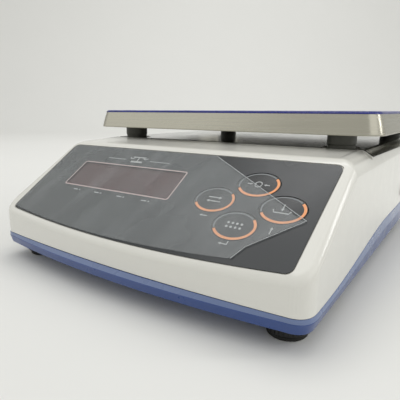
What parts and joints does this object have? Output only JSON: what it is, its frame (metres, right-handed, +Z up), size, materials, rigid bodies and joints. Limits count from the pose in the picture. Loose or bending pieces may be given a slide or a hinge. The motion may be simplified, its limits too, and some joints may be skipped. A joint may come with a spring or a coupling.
{
  "type": "counting scale",
  "caption": "Low bench counting scale: steel pan on four posts over a tapered casing, sloped console with a long display window and a diamond of oval keys.",
  "frame": {"origin": "on the bench, under the middle of the whole machine", "axes": "+Z up, +X to the operator's right, +Y to the back; the console faces -Y"},
  "size_m": [0.245, 0.313, 0.1095],
  "materials": {
    "casing_white": "smooth moulded ABS with a soft shine",
    "base_blue": "fine-textured moulded ABS",
    "pan_steel": "brushed stainless sheet with bright edges",
    "pan_film_blue": "thin blue protective film",
    "cast_aluminium": "plain casting",
    "cell_aluminium": "milled, clear anodised",
    "zinc_steel": "bright zinc plate",
    "board_green": "solder mask on glass fibre",
    "black_plastic": "satin moulded plastic",
    "black_rubber": "matt rubber",
    "post_grey": "satin moulded nylon",
    "panel_grey": "back-printed polyester film",
    "key_grey": "back-printed polyester dome",
    "window_maroon": "dark red see-through filter",
    "clear_film": "thin clear protective film, wrinkled",
    "label_silver": "blank printed foil",
    "vial_glass": "acrylic vial with liquid and bubble"
  },
  "bodies": {
    "casing": {"top_casing": "casing_white", "bottom_casing": "base_blue", "load_cell": "cell_aluminium", "load_cell_base_spacer": "cell_aluminium", "base_plate": "zinc_steel", "main_board": "board_green", "battery": "black_plastic", "battery_strap": "zinc_steel", "power_switch_frame": "black_plastic", "charge_socket": "black_plastic", "bubble_level": "vial_glass", "load_cell_lead": "black_rubber", "battery_lead": "black_rubber", "rating_label": "label_silver", "keypad_panel": "panel_grey", "display_window": "window_maroon", "panel_film": "clear_film", "display_board": "board_green", "digits_left": "black_plastic", "digits_right": "black_plastic", "switch_zero": "black_plastic", "switch_unit": "black_plastic", "switch_tare": "black_plastic", "switch_count": "black_plastic", "casing_screw_front_left": "zinc_steel", "casing_screw_front_right": "zinc_steel", "casing_screw_back_left": "zinc_steel", "casing_screw_back_right": "zinc_steel", "stop_screw_front_left": "zinc_steel", "stop_screw_front_right": "zinc_steel", "stop_screw_back_left": "zinc_steel", "stop_screw_back_right": "zinc_steel"},
    "pan_support": {"spider": "cast_aluminium", "load_cell_top_spacer": "cell_aluminium", "pan_post_front_left": "post_grey", "pan_post_front_right": "post_grey", "pan_post_back_left": "post_grey", "pan_post_back_right": "post_grey", "pan_pad_front_left": "black_rubber", "pan_pad_front_right": "black_rubber", "pan_pad_back_left": "black_rubber", "pan_pad_back_right": "black_rubber"},
    "pan": {"pan": "pan_steel", "pan_film": "pan_film_blue"},
    "battery_door": {"battery_door": "base_blue"},
    "power_rocker": {"power_rocker": "black_plastic"},
    "key_zero": {"key_zero": "key_grey"},
    "key_unit": {"key_unit": "key_grey"},
    "key_tare": {"key_tare": "key_grey"},
    "key_count": {"key_count": "key_grey"},
    "foot_front_left": {"foot_front_left": "black_plastic", "foot_pad_front_left": "black_rubber"},
    "foot_front_right": {"foot_front_right": "black_plastic", "foot_pad_front_right": "black_rubber"},
    "foot_back_left": {"foot_back_left": "black_plastic", "foot_pad_back_left": "black_rubber"},
    "foot_back_right": {"foot_back_right": "black_plastic", "foot_pad_back_right": "black_rubber"}
  },
  "joints": [
    {"name": "load_cell_bend", "type": "slide", "parent": "casing", "child": "pan_support", "axis": [0, 0, -1], "range_m": [0, 0.00025], "stiffness_N_per_m": 100000},
    {"name": "pan_lift_off", "type": "slide", "parent": "pan_support", "child": "pan", "axis": [0, 0, 1], "range_m": [0, 0.06]},
    {"name": "battery_door_off", "type": "slide", "parent": "casing", "child": "battery_door", "axis": [0, 0, -1], "range_m": [0, 0.03]},
    {"name": "power_rocker_tip", "type": "hinge", "parent": "casing", "child": "power_rocker", "pos_m": [0.10857, -0.085, 0.0131], "axis": [-1, 0, 0], "range_deg": [0, 16]},
    {"name": "key_zero_press", "type": "slide", "parent": "casing", "child": "key_zero", "axis": [0, 0.5548, -0.832], "range_m": [0, 0.0006], "stiffness_N_per_m": 1500},
    {"name": "key_unit_press", "type": "slide", "parent": "casing", "child": "key_unit", "axis": [0, 0.5548, -0.832], "range_m": [0, 0.0006], "stiffness_N_per_m": 1500},
    {"name": "key_tare_press", "type": "slide", "parent": "casing", "child": "key_tare", "axis": [0, 0.5548, -0.832], "range_m": [0, 0.0006], "stiffness_N_per_m": 1500},
    {"name": "key_count_press", "type": "slide", "parent": "casing", "child": "key_count", "axis": [0, 0.5548, -0.832], "range_m": [0, 0.0006], "stiffness_N_per_m": 1500},
    {"name": "foot_front_left_height", "type": "slide", "parent": "casing", "child": "foot_front_left", "axis": [0, 0, -1], "range_m": [0, 0.007]},
    {"name": "foot_front_right_height", "type": "slide", "parent": "casing", "child": "foot_front_right", "axis": [0, 0, -1], "range_m": [0, 0.007]},
    {"name": "foot_back_left_height", "type": "slide", "parent": "casing", "child": "foot_back_left", "axis": [0, 0, -1], "range_m": [0, 0.007]},
    {"name": "foot_back_right_height", "type": "slide", "parent": "casing", "child": "foot_back_right", "axis": [0, 0, -1], "range_m": [0, 0.007]}
  ]
}
